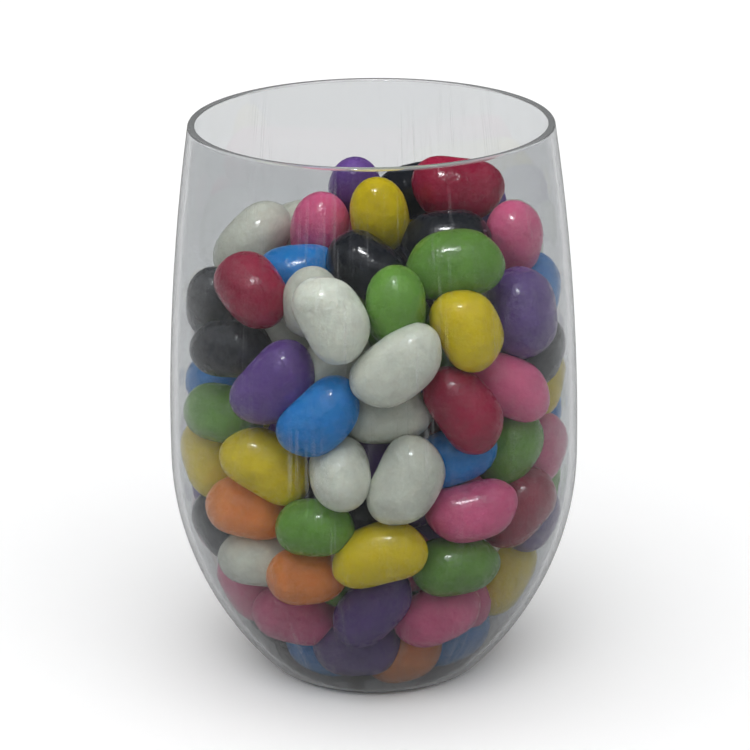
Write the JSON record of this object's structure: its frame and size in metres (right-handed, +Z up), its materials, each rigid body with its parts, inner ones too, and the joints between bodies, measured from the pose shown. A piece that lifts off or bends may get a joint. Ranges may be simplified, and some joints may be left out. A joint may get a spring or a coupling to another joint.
{
  "type": "cup of jelly beans",
  "caption": "Clear stemless cup with a flat foot, a full belly and a drawn-in open rim, heaped with jelly beans in mixed colours.",
  "frame": {"origin": "centre of the cup's foot, on the surface it stands on", "axes": "+Z up through the middle of the cup, +Y towards the back, with the pictured side of the heap facing -Y"},
  "size_m": [0.09, 0.09, 0.124],
  "materials": {
    "clear_plastic": "clear moulded plastic, lightly scuffed",
    "mixed_beans": "polished sugar shell, the mean of the mixed colours",
    "white_beans": "polished sugar shell, white",
    "yellow_beans": "polished sugar shell, yellow",
    "orange_beans": "polished sugar shell, orange",
    "pink_beans": "polished sugar shell, pink",
    "red_beans": "polished sugar shell, crimson",
    "purple_beans": "polished sugar shell, purple",
    "blue_beans": "polished sugar shell, blue",
    "green_beans": "polished sugar shell, green",
    "black_beans": "polished sugar shell, black"
  },
  "bodies": {
    "root": {"cup": "clear_plastic", "jelly_bean_heap": "mixed_beans"}
  },
  "joints": []
}
